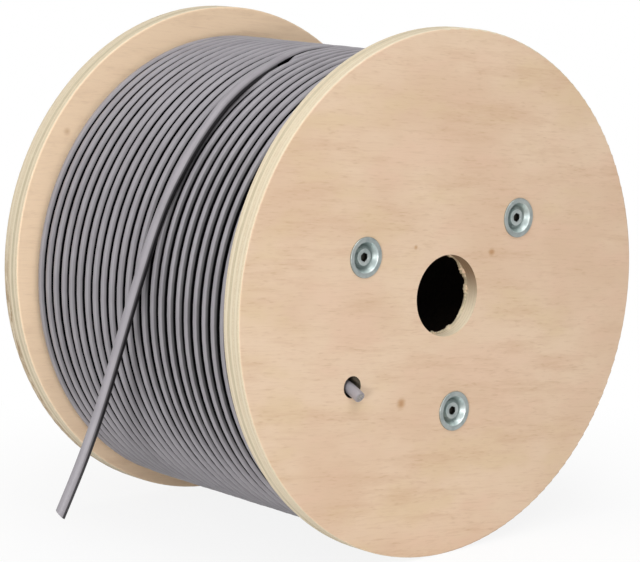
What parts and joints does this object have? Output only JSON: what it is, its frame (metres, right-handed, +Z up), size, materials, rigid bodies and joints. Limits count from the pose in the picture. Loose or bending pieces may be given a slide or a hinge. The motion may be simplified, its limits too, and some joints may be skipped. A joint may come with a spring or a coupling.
{
  "type": "cable drum",
  "caption": "Plywood cable drum with round flanges tied by bolts over a core tube, wound full of grey sheathed cable with a free outer end and a spindle hole.",
  "frame": {"origin": "middle of the drum's axle, half way between the outer faces of the flanges", "axes": "+Y along the axle from the front flange, where the inner cable end comes out, to the rear flange; +Z up; the drum lies on its two rims"},
  "size_m": [0.466, 0.3051, 0.4],
  "materials": {
    "plywood": "bare sanded veneer",
    "core_board": "wound kraft board",
    "cable_sheath": "matt grey sheath",
    "zinc_steel": "zinc plated, bluish"
  },
  "bodies": {
    "root": {"front_flange": "plywood", "rear_flange": "plywood", "core_tube": "core_board", "cable_winding": "cable_sheath", "cable_start": "cable_sheath", "cable_tail": "cable_sheath", "tie_bolt_1": "zinc_steel", "tie_bolt_2": "zinc_steel", "tie_bolt_3": "zinc_steel", "front_washer_1": "zinc_steel", "front_washer_2": "zinc_steel", "front_washer_3": "zinc_steel", "rear_washer_1": "zinc_steel", "rear_washer_2": "zinc_steel", "rear_washer_3": "zinc_steel", "rear_nut_1": "zinc_steel", "rear_nut_2": "zinc_steel", "rear_nut_3": "zinc_steel"}
  },
  "joints": []
}
